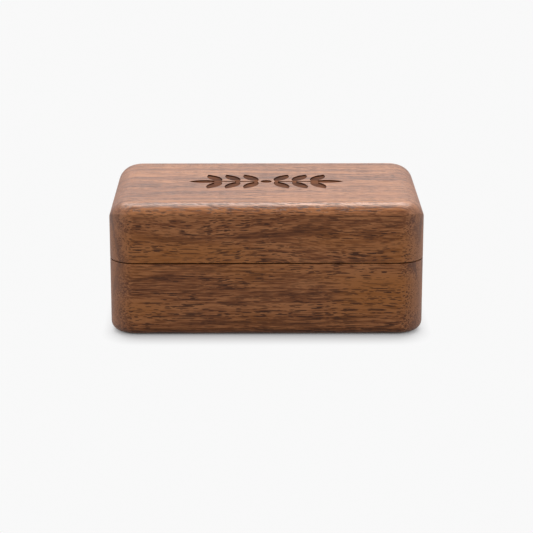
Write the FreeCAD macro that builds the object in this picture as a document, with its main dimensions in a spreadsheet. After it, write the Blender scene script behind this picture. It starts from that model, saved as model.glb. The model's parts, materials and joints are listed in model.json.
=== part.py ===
"""A walnut cufflink box: a milled base and lid, two butt hinges, a magnet catch and a slotted velvet insert.

Millimetres. The origin is at the middle of the underside, +X to the right, +Y to the back and +Z up.
The base and the lid meet at the seam, a level plane at the base's height.
"""
import FreeCAD, Part
import math
import os

import Sketcher
from FreeCAD import Placement, Rotation, Vector

SIZES = {
    "box_width": (70, "outside width of base and lid"),
    "box_depth": (45, "outside depth, front to back"),
    "base_height": (16.6, "underside to seam"),
    "lid_height": (13.4, "seam to top"),
    "corner_radius": (6, "upright corners, outside"),
    "lid_edge_radius": (4.5, "rounding round the top of the lid"),
    "lid_front_allowance": (0.69, "planed off the lid's front after the rounding"),
    "lid_side_allowance": (0.05, "planed off the lid's ends and back after the rounding"),
    "base_edge_radius": (2.1, "rounding round the underside"),
    "rim_edge_radius": (0.12, "easing of the rims at the seam"),
    "shadow_line_height": (0.25, "shadow line cut round the lid's rim, seam to lid"),
    "shadow_line_depth": (1, "shadow line, from the outside inwards"),
    "wall_thickness": (7, "walls of base and lid"),
    "floor_thickness": (4, "floor of the base"),
    "lid_top_thickness": (4, "top of the lid"),
    "pocket_corner_radius": (3.5, "upright corners of the milled pockets"),
    "rear_bevel": (2.4, "bevel of both rims along the back, which stops the open lid"),
    "hinge_setback": (2, "back face to hinge axis"),
    "hinge_inset": (16, "end of the box to the middle of a hinge"),
    "hinge_length": (12, "length of a hinge along its pin"),
    "knuckle_radius": (1.2, "outside of the hinge knuckles"),
    "knuckle_gap": (0.15, "end play between knuckles"),
    "pin_radius": (0.55, "hinge pin"),
    "pin_seat_clearance": (0.01, "pin in the base leaf's knuckles, where it is fixed"),
    "pin_running_clearance": (0.04, "pin in the lid leaf's knuckle, which turns on it"),
    "pin_overhang": (0.2, "pin beyond each end of its hinge"),
    "pin_end_radius": (0.18, "rounding of the pin's ends"),
    "leaf_thickness": (0.8, "hinge leaf"),
    "leaf_sink": (0.06, "leaf below the rim that it is let into"),
    "leaf_margin": (0.6, "wood between the leaf and the pocket"),
    "leaf_corner_radius": (0.5, "front corners of a leaf"),
    "mortise_clearance": (0.1, "wood round a leaf and past the pin's ends"),
    "barrel_clearance": (0.2, "wood and the other leaf round the knuckles"),
    "screw_spacing": (7, "between the two screws of a leaf"),
    "screw_head_radius": (0.95, "countersunk head"),
    "screw_shank_radius": (0.5, "shank"),
    "screw_length": (5, "head to tip"),
    "screw_tip_length": (0.8, "pointed end"),
    "screw_slot_width": (0.3, "driver slot"),
    "screw_slot_depth": (0.25, "driver slot"),
    "screw_clearance": (0.03, "screw in leaf and wood"),
    "magnet_radius": (2, "disc magnet"),
    "magnet_thickness": (2, "disc magnet"),
    "magnet_edge": (0.15, "chamfer of a magnet's rims"),
    "magnet_clearance": (0.03, "magnet in its hole"),
    "magnet_sink": (0.1, "magnet below the rim"),
    "lining_clearance": (0.3, "insert and lid pad to the pocket walls"),
    "backing_thickness": (1, "card under the insert's foam"),
    "cover_thickness": (0.6, "velvet cover"),
    "insert_rise": (2.6, "insert above the seam"),
    "insert_edge_radius": (2.4, "rounding round the top of the insert"),
    "slot_length": (18, "cufflink slot, front to back"),
    "slot_width": (5, "cufflink slot, left to right"),
    "slot_spacing": (27, "middle to middle of the two slots"),
    "pad_board_thickness": (0.8, "card in the lid"),
    "pad_foam_thickness": (0.9, "foam in the lid"),
    "pad_edge_radius": (1, "rounding round the lid pad"),
    "engraving_depth": (0.3, "leaf spray cut into the lid"),
    "spray_start": (2, "middle of the spray to its first leaves"),
    "spray_pitch": (4.2, "one pair of leaves to the next"),
    "spray_leaf_length": (7.4, "base to tip of a leaf"),
    "spray_leaf_width": (2.9, "widest part of a leaf"),
    "spray_leaf_angle": (66, "leaf to stem, in degrees"),
    "spray_stem_width": (0.8, "stem"),
    "spray_berry_radius": (1.3, "berry in the middle"),
}
LEAF_PAIRS = 3
KNUCKLES = 3
SIDES = {"left": -1, "right": 1}
TOUCHING = 1e-6

# Sizes that follow from the ones above
LID_BLANK_WIDTH = "(Sizes.box_width + 2 * Sizes.lid_side_allowance)"
LID_BLANK_DEPTH = "(Sizes.box_depth + Sizes.lid_front_allowance + Sizes.lid_side_allowance)"
LID_BLANK_Y = "(Sizes.lid_side_allowance - Sizes.lid_front_allowance) / 2"
POCKET_WIDTH = "(Sizes.box_width - 2 * Sizes.wall_thickness)"
POCKET_DEPTH = "(Sizes.box_depth - 2 * Sizes.wall_thickness)"
HINGE_Y = "(Sizes.box_depth / 2 - Sizes.hinge_setback)"
HINGE_X = "(Sizes.box_width / 2 - Sizes.hinge_inset)"
LEAF_REACH = "(Sizes.wall_thickness - Sizes.hinge_setback - Sizes.leaf_margin)"
LEAF_BED = "(Sizes.leaf_sink + Sizes.leaf_thickness)"
KNUCKLE_LENGTH = f"((Sizes.hinge_length - {KNUCKLES - 1} * Sizes.knuckle_gap) / {KNUCKLES})"
BARREL_RADIUS = "(Sizes.knuckle_radius + Sizes.barrel_clearance)"
BARREL_LENGTH = "(Sizes.hinge_length + 2 * Sizes.pin_overhang + 2 * Sizes.mortise_clearance)"
SCREW_X = "(Sizes.screw_spacing / 2)"
SCREW_REACH = f"(({LEAF_REACH} + Sizes.knuckle_radius) / 2)"
SCREW_HOLE = "(Sizes.screw_shank_radius + Sizes.screw_clearance)"
MAGNET_HOLE = "(Sizes.magnet_radius + Sizes.magnet_clearance)"
MAGNET_X = "(Sizes.box_width / 2 - Sizes.wall_thickness)"
MAGNET_Y = "(Sizes.wall_thickness / 2 - Sizes.box_depth / 2)"
INSERT_FLOOR = "(Sizes.floor_thickness + Sizes.backing_thickness)"
INSERT_HEIGHT = f"(Sizes.base_height + Sizes.insert_rise - {INSERT_FLOOR})"
INSERT_EDGE = "min(Sizes.insert_edge_radius; 0.8 * (Sizes.pocket_corner_radius - Sizes.lining_clearance))"
LID_CEILING = "(Sizes.base_height + Sizes.lid_height - Sizes.lid_top_thickness)"
PAD_FOAM_TOP = f"({LID_CEILING} - Sizes.pad_board_thickness)"
COVER_INSET = "Sizes.lining_clearance"
FOAM_INSET = "(Sizes.lining_clearance + Sizes.cover_thickness)"
SPRAY_LAST_PAIR = f"(Sizes.spray_start + {LEAF_PAIRS - 1} * Sizes.spray_pitch)"

doc = FreeCAD.newDocument("cufflink_box")
sheet = doc.addObject("Spreadsheet::Sheet", "Sizes")
parts = []


def fill_sheet():
    """Write each driving size on a row of its own: name, number, note."""
    for row, (alias, (value, note)) in enumerate(SIZES.items(), start=1):
        sheet.set(f"A{row}", alias)
        sheet.set(f"B{row}", str(value))
        sheet.setAlias(f"B{row}", alias)
        sheet.set(f"C{row}", note)
    doc.recompute()


def number(expression):
    """The present value of an expression in the sheet's names."""
    return float(sheet.evalExpression(expression.replace("Sizes.", "")))


def new_body(label, x=None, y=None, z=None, turn=None):
    """A sub-part, placed by expressions for its own origin."""
    body = doc.addObject("PartDesign::Body", label)
    body.Label = label
    if turn is not None:
        body.Placement = Placement(Vector(), turn)
    for axis, expression in (("x", x), ("y", y), ("z", z)):
        if expression is not None:
            body.setExpression(f"Placement.Base.{axis}", expression)
    return body


def origin(body, role):
    """One of a body's own origin planes or axes."""
    return next(feature for feature in body.Origin.OriginFeatures if feature.Role == role)


def new_sketch(body, name, plane="XY_Plane", lift=None, slide=None):
    """A sketch on one of the body's origin planes, lifted off it along its normal or slid along its Y."""
    sketch = body.newObject("Sketcher::SketchObject", name)
    sketch.AttachmentSupport = [(origin(body, plane), "")]
    sketch.MapMode = "FlatFace"
    if lift is not None:
        sketch.setExpression("AttachmentOffset.Base.z", lift)
    if slide is not None:
        sketch.setExpression("AttachmentOffset.Base.y", slide)
    return sketch


def dimension(sketch, kind, where, expression):
    """A dimension in a sketch that follows the sheet."""
    index = sketch.addConstraint(Sketcher.Constraint(kind, *where, number(expression)))
    sketch.setExpression(f"Constraints[{index}]", expression)


def fix_point(sketch, point, x, y):
    """Hold a point of a sketch at x, y from the sketch's origin."""
    origin_point = (-1, 1)
    for kind, expression, axis in (("DistanceX", x, -2), ("DistanceY", y, -1)):
        value = number(expression)
        if abs(value) < TOUCHING:
            sketch.addConstraint(Sketcher.Constraint("PointOnObject", *point, axis))
        elif value > 0:
            dimension(sketch, kind, (*origin_point, *point), expression)
        else:
            dimension(sketch, kind, (*point, *origin_point), f"-({expression})")


def draw_polygon(sketch, corners):
    """Straight sides through corners, each corner a pair of expressions."""
    points = [Vector(number(x), number(y), 0) for x, y in corners]
    count = len(points)
    lines = [sketch.addGeometry(Part.LineSegment(points[i], points[(i + 1) % count])) for i in range(count)]
    for i in range(count):
        sketch.addConstraint(Sketcher.Constraint("Coincident", lines[i], 2, lines[(i + 1) % count], 1))
    for line, (x, y) in zip(lines, corners):
        fix_point(sketch, (line, 1), x, y)


def draw_rectangle(sketch, left, right, low, high):
    """A rectangle between two pairs of expressions."""
    draw_polygon(sketch, [(left, low), (right, low), (right, high), (left, high)])


def draw_circle(sketch, radius, x="0", y="0"):
    """A circle of a radius, at x, y."""
    centre = Vector(number(x), number(y), 0)
    circle = sketch.addGeometry(Part.Circle(centre, Vector(0, 0, 1), number(radius)))
    dimension(sketch, "Radius", (circle,), radius)
    fix_point(sketch, (circle, 3), x, y)


def draw_rounded_rectangle(sketch, width, depth, radius):
    """A rectangle about the sketch's origin with four equal round corners."""
    half_width = number(width) / 2
    half_depth = number(depth) / 2
    round_by = number(radius)
    along = half_width - round_by
    across = half_depth - round_by
    sides = [
        (Vector(-along, -half_depth, 0), Vector(along, -half_depth, 0)),
        (Vector(half_width, -across, 0), Vector(half_width, across, 0)),
        (Vector(along, half_depth, 0), Vector(-along, half_depth, 0)),
        (Vector(-half_width, across, 0), Vector(-half_width, -across, 0)),
    ]
    diagonal = round_by / math.sqrt(2)
    corners = [(1, -1), (1, 1), (-1, 1), (-1, -1)]
    lines = []
    arcs = []
    for i, (right, back) in enumerate(corners):
        lines.append(sketch.addGeometry(Part.LineSegment(*sides[i])))
        middle = Vector(right * (along + diagonal), back * (across + diagonal), 0)
        arcs.append(sketch.addGeometry(Part.Arc(sides[i][1], middle, sides[(i + 1) % 4][0])))
    for i in range(4):
        sketch.addConstraint(Sketcher.Constraint("Tangent", lines[i], 2, arcs[i], 1))
        sketch.addConstraint(Sketcher.Constraint("Tangent", arcs[i], 2, lines[(i + 1) % 4], 1))
        sketch.addConstraint(Sketcher.Constraint("Horizontal" if i % 2 == 0 else "Vertical", lines[i]))
    for arc in arcs[1:]:
        sketch.addConstraint(Sketcher.Constraint("Equal", arcs[0], arc))
    dimension(sketch, "Radius", (arcs[0],), radius)
    dimension(sketch, "DistanceX", (lines[3], 1, lines[1], 1), width)
    dimension(sketch, "DistanceY", (lines[0], 1, lines[2], 1), depth)
    sketch.addConstraint(Sketcher.Constraint("Symmetric", lines[0], 1, lines[2], 1, -1, 1))


def draw_leaf(sketch, x, length, width, angle="0"):
    """A leaf of two equal arcs, its base on the sketch's X axis at x and its midrib at an angle to it."""
    tip_x = f"{x} + {length} * cos({angle} * 1 deg)"
    tip_y = f"{length} * sin({angle} * 1 deg)"
    base = Vector(number(x), 0, 0)
    tip = Vector(number(tip_x), number(tip_y), 0)
    middle = (base + tip) / 2
    bulge = Vector(base.y - tip.y, tip.x - base.x, 0).normalize() * (number(width) / 2)
    lower = sketch.addGeometry(Part.Arc(base, middle - bulge, tip))
    upper = sketch.addGeometry(Part.Arc(tip, middle + bulge, base))
    sketch.addConstraint(Sketcher.Constraint("Coincident", lower, 1, upper, 2))
    sketch.addConstraint(Sketcher.Constraint("Coincident", lower, 2, upper, 1))
    sketch.addConstraint(Sketcher.Constraint("Equal", lower, upper))
    fix_point(sketch, (lower, 1), x, "0")
    fix_point(sketch, (lower, 2), tip_x, tip_y)
    dimension(sketch, "Radius", (lower,), f"({length} ^ 2 + {width} ^ 2) / 4 / {width}")


def add(body, sketch, length, downward=False, both_ways=False):
    """Pad a sketch onto its body."""
    pad = body.newObject("PartDesign::Pad", f"{sketch.Name}_pad")
    pad.Profile = sketch
    pad.setExpression("Length", length)
    pad.Reversed = downward
    pad.SideType = "Symmetric" if both_ways else "One side"
    doc.recompute()
    return pad


def cut(body, sketch, depth, upward=False, both_ways=False):
    """Cut a sketch into its body, and make sure that the cut reaches the solid."""
    before = body.Tip.Shape.Volume
    pocket = body.newObject("PartDesign::Pocket", f"{sketch.Name}_cut")
    pocket.Profile = sketch
    pocket.setExpression("Length", depth)
    pocket.Reversed = upward
    pocket.SideType = "Symmetric" if both_ways else "One side"
    doc.recompute()
    if not pocket.Shape.Volume < before:
        raise RuntimeError(f"{pocket.Label} in {body.Label} removes nothing")
    return pocket


def mirror(body, features, plane="YZ_Plane"):
    """Repeat features on the other side of one of the body's planes."""
    mirrored = body.newObject("PartDesign::Mirrored", f"{features[0].Name}_mirrored")
    mirrored.Originals = features
    mirrored.MirrorPlane = (origin(body, plane), [""])
    body.Tip = mirrored
    doc.recompute()
    return mirrored


def edges_where(shape, test):
    """Names of the edges of a shape that pass a test."""
    return [f"Edge{index}" for index, edge in enumerate(shape.Edges, start=1) if test(edge)]


def lies_level(edge, height):
    """Whether an edge lies in the level plane at a height."""
    box = edge.BoundBox
    return abs(box.ZMin - height) < TOUCHING and abs(box.ZMax - height) < TOUCHING


def is_circle(edge):
    """Whether an edge is a circle, or an arc of one."""
    return edge.Curve.TypeId == "Part::GeomCircle"


def dress(body, kind, name, edges, size):
    """Fillet or chamfer edges of the body's last feature."""
    last = body.Tip
    feature = body.newObject(f"PartDesign::{kind}", name)
    feature.Base = (last, edges)
    feature.setExpression("Radius" if kind == "Fillet" else "Size", size)
    doc.recompute()


def round_edges(body, name, height, radius):
    """Round every edge of the body that lies at a height."""
    level = number(height)
    edges = edges_where(body.Tip.Shape, lambda edge: lies_level(edge, level))
    dress(body, "Fillet", name, edges, radius)


def keep(part):
    """Count an object as a finished sub-part."""
    parts.append(part)


def make_shell(label, is_lid):
    """The base or the lid, milled from one block. Its own origin is on the seam; a base hangs from it."""
    away = 1 if is_lid else -1
    height = "Sizes.lid_height" if is_lid else "Sizes.base_height"
    board = "Sizes.lid_top_thickness" if is_lid else "Sizes.floor_thickness"
    edge_radius = "Sizes.lid_edge_radius" if is_lid else "Sizes.base_edge_radius"
    width = LID_BLANK_WIDTH if is_lid else "Sizes.box_width"
    depth = LID_BLANK_DEPTH if is_lid else "Sizes.box_depth"
    middle = LID_BLANK_Y if is_lid else None
    shell = new_body(label, z="Sizes.base_height")

    outline = new_sketch(shell, f"{label}_outline", slide=middle)
    draw_rounded_rectangle(outline, width, depth, "Sizes.corner_radius")
    add(shell, outline, height, downward=not is_lid)
    round_edges(shell, f"{label}_edge", f"{away} * {height}", edge_radius)
    if is_lid:
        plane_sides(shell)

    pocket = new_sketch(shell, f"{label}_pocket")
    draw_rounded_rectangle(pocket, POCKET_WIDTH, POCKET_DEPTH, "Sizes.pocket_corner_radius")
    cut(shell, pocket, f"{height} - {board}", upward=is_lid)
    if is_lid:
        cut_shadow_line(shell)
    round_edges(shell, f"{label}_rim", "0", "Sizes.rim_edge_radius")

    bevel = new_sketch(shell, f"{label}_bevel", "YZ_Plane")
    apex = "Sizes.box_depth / 2 - Sizes.rear_bevel"
    beyond = "Sizes.box_depth / 2 + Sizes.rear_bevel"
    draw_polygon(bevel, [(apex, "0"), (beyond, "0"), (beyond, f"{away} * 2 * Sizes.rear_bevel")])
    cut(shell, bevel, "2 * Sizes.box_width", both_ways=True)

    mortise = cut_leaf_mortise(shell, label, is_lid)
    barrel = cut_barrel(shell, label)
    pilots = cut_pilots(shell, label, is_lid)
    mirror(shell, [mortise, barrel, pilots])

    magnets = new_sketch(shell, f"{label}_magnets")
    for side in SIDES.values():
        draw_circle(magnets, MAGNET_HOLE, f"{side} * {MAGNET_X}", MAGNET_Y)
    cut(shell, magnets, "Sizes.magnet_sink + Sizes.magnet_thickness", upward=is_lid)
    return shell


def plane_sides(lid):
    """Plane the rounded lid flush with the base. Its rounding then meets the sides in a crisp line."""
    shavings = new_sketch(lid, "shavings")
    draw_rounded_rectangle(shavings, "Sizes.box_width", "Sizes.box_depth", "Sizes.corner_radius")
    beyond = "2 * Sizes.corner_radius"
    draw_rounded_rectangle(shavings, f"{LID_BLANK_WIDTH} + {beyond}", f"{LID_BLANK_DEPTH} + {beyond}",
                           "Sizes.corner_radius")
    cut(lid, shavings, "Sizes.lid_height", upward=True)


def cut_shadow_line(lid):
    """A narrow step round the lid's rim, with an eased edge. It shows as a dark line when the box is shut."""
    step = new_sketch(lid, "shadow_line")
    for way in (1, -1):
        reach = f"{way} * Sizes.shadow_line_depth"
        draw_rounded_rectangle(step, f"Sizes.box_width + 2 * {reach}", f"Sizes.box_depth + 2 * {reach}",
                               f"Sizes.corner_radius + {reach}")
    cut(lid, step, "Sizes.shadow_line_height", upward=True)
    level = number("Sizes.shadow_line_height")
    half_width = number("Sizes.box_width") / 2
    half_depth = number("Sizes.box_depth") / 2

    def is_outer(edge):
        insets = [min(half_width - abs(end.X), half_depth - abs(end.Y)) for end in edge.Vertexes]
        return lies_level(edge, level) and max(insets) < TOUCHING

    outer_edges = edges_where(lid.Tip.Shape, is_outer)
    dress(lid, "Fillet", "shadow_line_edge", outer_edges, "Sizes.rim_edge_radius")


def cut_leaf_mortise(shell, label, is_lid):
    """The bed that the left hinge's leaf is let into."""
    mortise = new_sketch(shell, f"{label}_mortise")
    half_length = "(Sizes.hinge_length / 2 + Sizes.mortise_clearance)"
    front = f"{HINGE_Y} - {LEAF_REACH} - Sizes.mortise_clearance"
    back = "Sizes.box_depth / 2 + Sizes.rear_bevel"
    draw_rectangle(mortise, f"-{HINGE_X} - {half_length}", f"-{HINGE_X} + {half_length}", front, back)
    return cut(shell, mortise, LEAF_BED, upward=is_lid)


def cut_barrel(shell, label):
    """The hollow round the left hinge's knuckles."""
    barrel = new_sketch(shell, f"{label}_barrel", "YZ_Plane", lift=f"-{HINGE_X}")
    draw_circle(barrel, BARREL_RADIUS, HINGE_Y)
    return cut(shell, barrel, BARREL_LENGTH, both_ways=True)


def cut_pilots(shell, label, is_lid):
    """The pilot holes of the left hinge's screws."""
    pilots = new_sketch(shell, f"{label}_pilots")
    for side in SIDES.values():
        draw_circle(pilots, SCREW_HOLE, f"-{HINGE_X} + {side} * {SCREW_X}", f"{HINGE_Y} - {SCREW_REACH}")
    return cut(shell, pilots, "Sizes.leaf_sink + Sizes.screw_length + Sizes.screw_clearance", upward=is_lid)


def engrave(lid):
    """A leaf spray cut into the top: a berry, and on each side a stem with paired leaves and an end leaf."""
    top = "Sizes.lid_height"
    stems = new_sketch(lid, "spray_stems", lift=top)
    draw_circle(stems, "Sizes.spray_berry_radius")
    half_stem = "Sizes.spray_stem_width / 2"
    for side in SIDES.values():
        near = f"{side} * Sizes.spray_start"
        far = f"{side} * ({SPRAY_LAST_PAIR} + Sizes.spray_leaf_width)"
        draw_rectangle(stems, near, far, f"-{half_stem}", half_stem)
    cut(lid, stems, "Sizes.engraving_depth")

    end_leaf = new_sketch(lid, "spray_end_leaf", lift=top)
    draw_leaf(end_leaf, SPRAY_LAST_PAIR, "Sizes.spray_leaf_length", "Sizes.spray_leaf_width")
    mirror(lid, [cut(lid, end_leaf, "Sizes.engraving_depth")])

    leaf = new_sketch(lid, "spray_leaf", lift=top)
    draw_leaf(leaf, "Sizes.spray_start", "Sizes.spray_leaf_length", "Sizes.spray_leaf_width",
              "Sizes.spray_leaf_angle")
    leaf_cut = cut(lid, leaf, "Sizes.engraving_depth")
    leaves = lid.newObject("PartDesign::MultiTransform", "spray_leaves")
    leaves.Originals = [leaf_cut]
    along = lid.newObject("PartDesign::LinearPattern", "spray_along")
    along.Direction = (origin(lid, "X_Axis"), [""])
    along.Mode = "Spacing"
    along.setExpression("Offset", "Sizes.spray_pitch")
    along.Occurrences = LEAF_PAIRS
    across = lid.newObject("PartDesign::Mirrored", "spray_across")
    across.MirrorPlane = (origin(lid, "XZ_Plane"), [""])
    sideways = lid.newObject("PartDesign::Mirrored", "spray_sideways")
    sideways.MirrorPlane = (origin(lid, "YZ_Plane"), [""])
    leaves.Transformations = [along, across, sideways]
    lid.Tip = leaves
    doc.recompute()


def make_leaf(label, side, is_lid):
    """A hinge leaf. Its own origin is on the hinge axis, at the middle of the hinge."""
    away = 1 if is_lid else -1
    leaf = new_body(label, x=f"{side} * {HINGE_X}", y=HINGE_Y, z="Sizes.base_height")
    half_length = "Sizes.hinge_length / 2"

    plate = new_sketch(leaf, f"{label}_plate", lift=f"{away} * Sizes.leaf_sink")
    draw_rectangle(plate, f"-{half_length}", half_length, f"-{LEAF_REACH}", "0")
    add(leaf, plate, "Sizes.leaf_thickness", downward=not is_lid)
    front = -number(LEAF_REACH)
    corners = edges_where(leaf.Tip.Shape, lambda edge: edge.BoundBox.ZLength > TOUCHING
                          and abs(edge.BoundBox.YMin - front) < TOUCHING)
    dress(leaf, "Fillet", f"{label}_corners", corners, "Sizes.leaf_corner_radius")

    barrel = new_sketch(leaf, f"{label}_barrel", "YZ_Plane")
    draw_circle(barrel, "Sizes.knuckle_radius")
    add(leaf, barrel, "Sizes.hinge_length", both_ways=True)

    gaps = new_sketch(leaf, f"{label}_gaps")
    if is_lid:
        for end in SIDES.values():
            inner = f"{end} * {KNUCKLE_LENGTH} / 2"
            beyond = f"{end} * Sizes.hinge_length"
            draw_rectangle(gaps, inner, beyond, f"-{BARREL_RADIUS}", BARREL_RADIUS)
    else:
        reach = f"({KNUCKLE_LENGTH} / 2 + Sizes.knuckle_gap)"
        draw_rectangle(gaps, f"-{reach}", reach, f"-{BARREL_RADIUS}", BARREL_RADIUS)
    cut(leaf, gaps, f"4 * {BARREL_RADIUS}", both_ways=True)

    bore = new_sketch(leaf, f"{label}_bore", "YZ_Plane")
    clearance = "Sizes.pin_running_clearance" if is_lid else "Sizes.pin_seat_clearance"
    draw_circle(bore, f"Sizes.pin_radius + {clearance}")
    cut(leaf, bore, "2 * Sizes.hinge_length", both_ways=True)

    holes = new_sketch(leaf, f"{label}_holes", lift=f"{away} * Sizes.leaf_sink")
    for end in SIDES.values():
        draw_circle(holes, SCREW_HOLE, f"{end} * {SCREW_X}", f"-{SCREW_REACH}")
    cut(leaf, holes, "Sizes.leaf_thickness", upward=is_lid)
    face = away * number("Sizes.leaf_sink")
    hole = number(SCREW_HOLE)
    mouths = edges_where(leaf.Tip.Shape, lambda edge: is_circle(edge)
                         and abs(edge.Curve.Radius - hole) < TOUCHING
                         and lies_level(edge, face))
    countersink = "Sizes.screw_head_radius - Sizes.screw_shank_radius"
    dress(leaf, "Chamfer", f"{label}_countersinks", mouths, countersink)
    keep(leaf)


def make_pin(label, side):
    """A hinge pin, fixed in the base leaf."""
    pin = new_body(label, x=f"{side} * {HINGE_X}", y=HINGE_Y, z="Sizes.base_height")
    section = new_sketch(pin, f"{label}_section", "YZ_Plane")
    draw_circle(section, "Sizes.pin_radius")
    add(pin, section, "Sizes.hinge_length + 2 * Sizes.pin_overhang", both_ways=True)
    rims = edges_where(pin.Tip.Shape, is_circle)
    dress(pin, "Fillet", f"{label}_ends", rims, "Sizes.pin_end_radius")
    keep(pin)


def make_screw(label, hinge_side, screw_side, is_lid):
    """A slotted countersunk screw. Its own origin is in the middle of its head, with the shank below."""
    sink = "Sizes.leaf_sink" if is_lid else "-Sizes.leaf_sink"
    turn = Rotation(Vector(1, 0, 0), 180 if is_lid else 0)
    screw = new_body(label, turn=turn, x=f"{hinge_side} * {HINGE_X} + {screw_side} * {SCREW_X}",
                     y=f"{HINGE_Y} - {SCREW_REACH}", z=f"Sizes.base_height + {sink}")
    profile = new_sketch(screw, f"{label}_profile", "XZ_Plane")
    draw_polygon(profile, [
        ("0", "0"),
        ("Sizes.screw_head_radius", "0"),
        ("Sizes.screw_shank_radius", "Sizes.screw_shank_radius - Sizes.screw_head_radius"),
        ("Sizes.screw_shank_radius", "Sizes.screw_tip_length - Sizes.screw_length"),
        ("0", "-Sizes.screw_length"),
    ])
    turned = screw.newObject("PartDesign::Revolution", f"{label}_turned")
    turned.Profile = profile
    turned.ReferenceAxis = (origin(screw, "Z_Axis"), [""])
    turned.Angle = 360
    doc.recompute()
    slot = new_sketch(screw, f"{label}_slot")
    half_width = "Sizes.screw_slot_width / 2"
    draw_rectangle(slot, "-Sizes.screw_head_radius", "Sizes.screw_head_radius", f"-{half_width}", half_width)
    cut(screw, slot, "Sizes.screw_slot_depth")
    keep(screw)


def make_magnet(label, side, is_lid):
    """A disc magnet, let into a front corner of a rim."""
    away = 1 if is_lid else -1
    magnet = new_body(label, x=f"{side} * {MAGNET_X}", y=MAGNET_Y, z="Sizes.base_height")
    disc = new_sketch(magnet, f"{label}_disc", lift=f"{away} * Sizes.magnet_sink")
    draw_circle(disc, "Sizes.magnet_radius")
    add(magnet, disc, "Sizes.magnet_thickness", downward=not is_lid)
    rims = edges_where(magnet.Tip.Shape, is_circle)
    dress(magnet, "Chamfer", f"{label}_rims", rims, "Sizes.magnet_edge")
    keep(magnet)


def make_slab(label, inset, height, thickness, hangs=False):
    """A slab that follows the pocket's outline, inset from it, standing at a height or hanging from it."""
    slab = new_body(label, z=height)
    outline = new_sketch(slab, f"{label}_outline")
    draw_rounded_rectangle(outline, f"{POCKET_WIDTH} - 2 * {inset}", f"{POCKET_DEPTH} - 2 * {inset}",
                           f"Sizes.pocket_corner_radius - {inset}")
    add(slab, outline, thickness, downward=hangs)
    return slab


def cut_slots(block, label, lining):
    """The two cufflink slots, each wider all round by a lining."""
    slots = new_sketch(block, f"{label}_slots")
    half_width = f"(Sizes.slot_width / 2 + {lining})"
    half_length = f"(Sizes.slot_length / 2 + {lining})"
    for side in SIDES.values():
        left = f"{side} * Sizes.slot_spacing / 2 - {half_width}"
        right = f"{side} * Sizes.slot_spacing / 2 + {half_width}"
        draw_rectangle(slots, left, right, f"-{half_length}", half_length)
    cut(block, slots, f"2 * {INSERT_HEIGHT}", upward=True)


def make_cover(label, wrapped, filling):
    """A velvet cover: what is left of the wrapped block once its filling is taken out."""
    cover = doc.addObject("Part::Cut", label)
    cover.Base = wrapped
    cover.Tool = filling
    doc.recompute()
    keep(cover)


def make_insert():
    """The insert: a card on the floor, a foam block on it, and a cover that also lines the slots."""
    keep(make_slab("insert_board", COVER_INSET, "Sizes.floor_thickness", "Sizes.backing_thickness"))
    foam_height = f"({INSERT_HEIGHT} - Sizes.cover_thickness)"
    foam = make_slab("insert_foam", FOAM_INSET, INSERT_FLOOR, foam_height)
    round_edges(foam, "insert_foam_edge", foam_height, f"{INSERT_EDGE} - Sizes.cover_thickness")
    cut_slots(foam, "insert_foam", "Sizes.cover_thickness")
    keep(foam)
    wrapped = make_slab("insert_wrapped", COVER_INSET, INSERT_FLOOR, INSERT_HEIGHT)
    round_edges(wrapped, "insert_wrapped_edge", INSERT_HEIGHT, INSERT_EDGE)
    cut_slots(wrapped, "insert_wrapped", "0")
    make_cover("insert_cover", wrapped, foam)


def make_lid_pad():
    """The lid's lining: a card under the top, foam under it, and a cover."""
    keep(make_slab("lid_pad_board", COVER_INSET, LID_CEILING, "Sizes.pad_board_thickness", hangs=True))
    foam = make_slab("lid_pad_foam", FOAM_INSET, PAD_FOAM_TOP, "Sizes.pad_foam_thickness", hangs=True)
    keep(foam)
    covered = "(Sizes.pad_foam_thickness + Sizes.cover_thickness)"
    wrapped = make_slab("lid_pad_wrapped", COVER_INSET, PAD_FOAM_TOP, covered, hangs=True)
    edge_radius = f"min(Sizes.pad_edge_radius; 0.9 * {covered})"
    round_edges(wrapped, "lid_pad_wrapped_edge", f"-{covered}", edge_radius)
    make_cover("lid_pad_cover", wrapped, foam)


def make_hinges():
    """Two hinges, each with two leaves, a pin and two screws in each leaf."""
    for hinge, side in SIDES.items():
        for owner, is_lid in (("base", False), ("lid", True)):
            make_leaf(f"{hinge}_hinge_{owner}_leaf", side, is_lid)
            for place, screw_side in SIDES.items():
                make_screw(f"{hinge}_hinge_{owner}_screw_{place}", side, screw_side, is_lid)
        make_pin(f"{hinge}_hinge_pin", side)


def check_document():
    """Stop on any object that failed, and on any sub-part that isn't sound."""
    for item in doc.Objects:
        if "Invalid" in item.State or "Error" in item.State:
            raise RuntimeError(f"{item.Label} failed: {item.State}")
    for part in parts:
        if part.Shape.isNull() or not part.Shape.isValid():
            raise RuntimeError(f"{part.Label} is not a valid shape")
        if len(part.Shape.Solids) != 1:
            raise RuntimeError(f"{part.Label} has {len(part.Shape.Solids)} solids")


def main():
    fill_sheet()
    keep(make_shell("base_shell", is_lid=False))
    lid = make_shell("lid_shell", is_lid=True)
    engrave(lid)
    keep(lid)
    make_hinges()
    for owner, is_lid in (("base", False), ("lid", True)):
        for side_name, side in SIDES.items():
            make_magnet(f"{owner}_magnet_{side_name}", side, is_lid)
    make_insert()
    make_lid_pad()
    doc.recompute()
    check_document()
    os.makedirs("parts", exist_ok=True)
    for part in parts:
        part.Shape.exportStep(f"parts/{part.Label}.step")


main()
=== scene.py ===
"""Finishes, padded linings and stage for a walnut cufflink box.

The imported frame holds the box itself, in metres, and none of its nodes is moved or changed here.
Each node gets a finish of its own, the two velvet linings are modelled as padded pieces in place of
their plain solids, and the stage has a pale floor, soft lamps and a camera.
"""

import json
import math

import bmesh
import bpy
from bpy.props import FloatProperty, FloatVectorProperty, PointerProperty
from bpy.types import Operator, Panel, PropertyGroup
from mathutils import Matrix, Vector


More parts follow.
